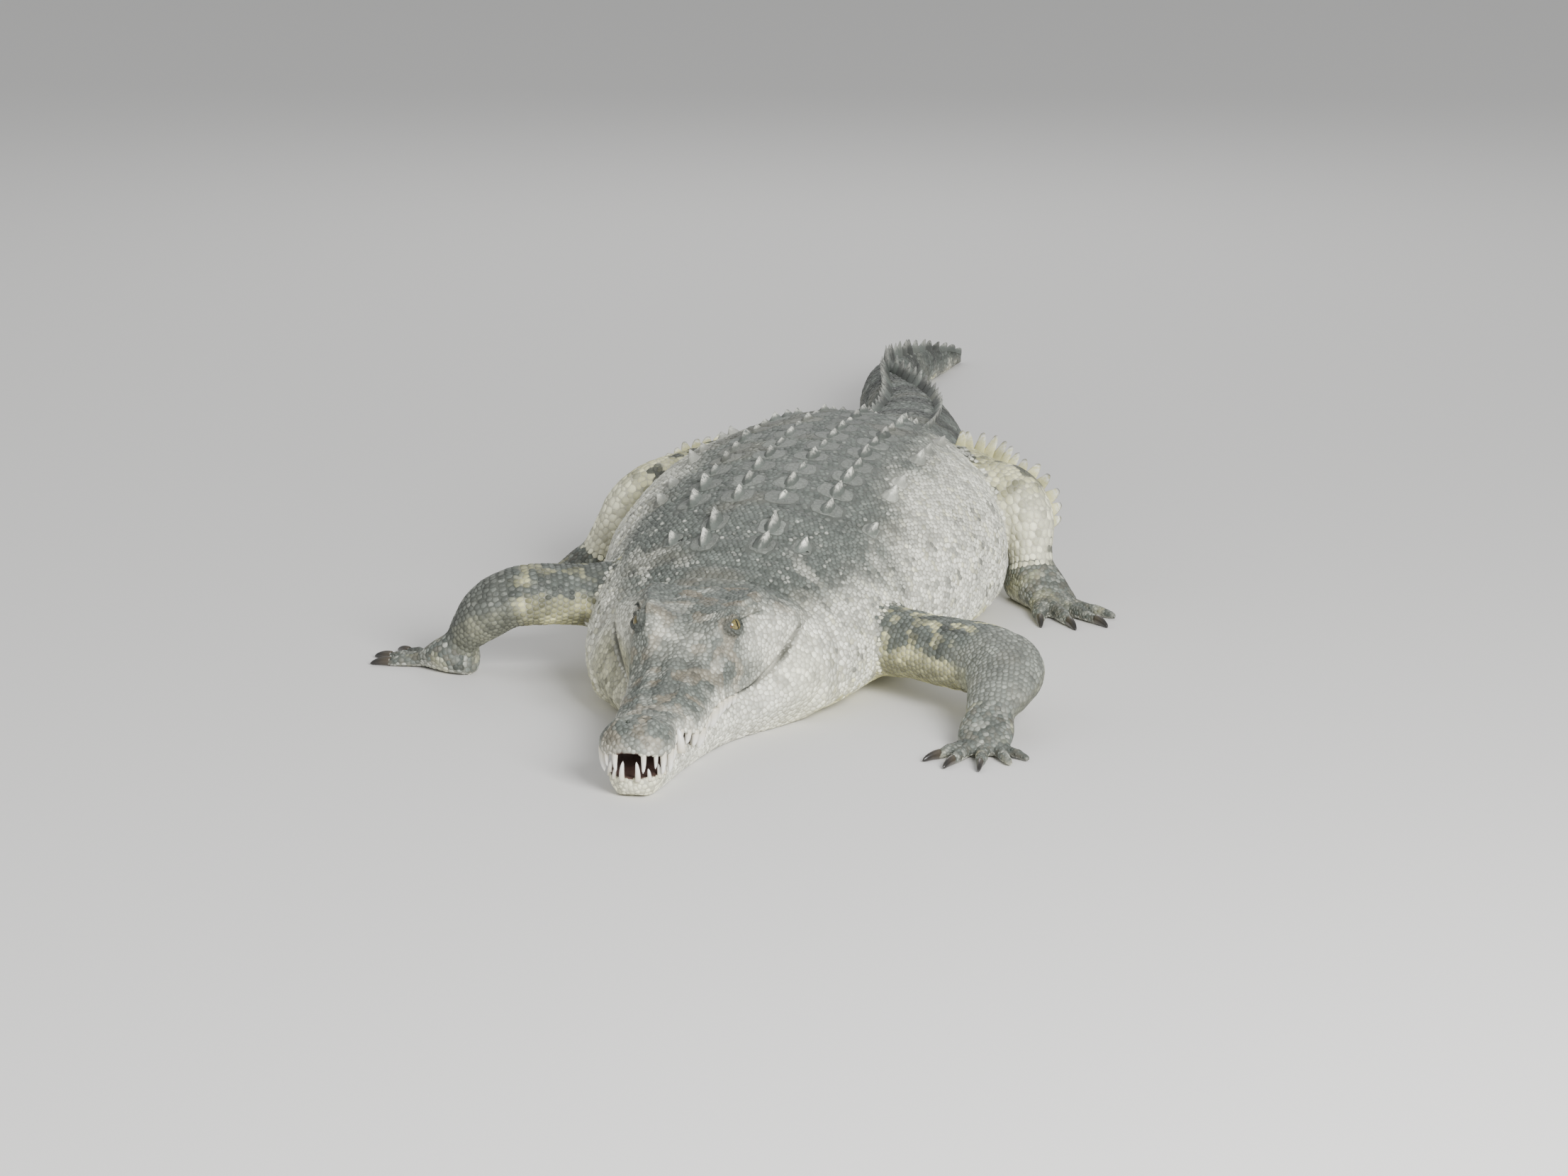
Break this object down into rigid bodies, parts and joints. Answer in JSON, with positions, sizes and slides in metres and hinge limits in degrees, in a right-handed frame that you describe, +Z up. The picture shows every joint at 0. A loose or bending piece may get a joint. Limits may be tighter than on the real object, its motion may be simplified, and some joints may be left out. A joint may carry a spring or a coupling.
{
  "type": "saltwater crocodile",
  "caption": "Life-size saltwater crocodile resting on its belly, head forward and jaws slightly parted, legs spread and tail laid out behind, as a still museum model.",
  "frame": {"origin": "on the floor, under the middle of the whole animal's bounding box", "axes": "+Z up, the snout points towards -Y, the animal's left side is towards +X"},
  "size_m": [1.177, 3.7638, 0.3404],
  "materials": {
    "hide": "grey-green scaly hide, dull with a slight sheen on the keels",
    "pale_hide": "pale cream-green skin of the lower jaw and throat, matt",
    "eye": "wet, clear over a yellow-brown iris with a slit pupil",
    "claw": "dark horn, half gloss"
  },
  "bodies": {
    "root": {"head": "hide", "lower_jaw": "pale_hide", "eye_left": "eye", "eye_right": "eye", "neck": "hide", "chest": "hide", "belly_and_hips": "hide", "tail_root": "hide", "tail_middle": "hide", "tail_end": "hide", "upper_arm_left": "hide", "forearm_left": "hide", "hand_left": "hide", "thigh_left": "hide", "shank_left": "hide", "foot_left": "hide", "upper_arm_right": "hide", "forearm_right": "hide", "hand_right": "hide", "thigh_right": "hide", "shank_right": "hide", "foot_right": "hide", "claw_left_finger_1": "claw", "claw_left_finger_2": "claw", "claw_left_finger_3": "claw", "claw_left_toe_1": "claw", "claw_left_toe_2": "claw", "claw_left_toe_3": "claw", "claw_right_finger_1": "claw", "claw_right_finger_2": "claw", "claw_right_finger_3": "claw", "claw_right_toe_1": "claw", "claw_right_toe_2": "claw", "claw_right_toe_3": "claw"}
  },
  "joints": []
}
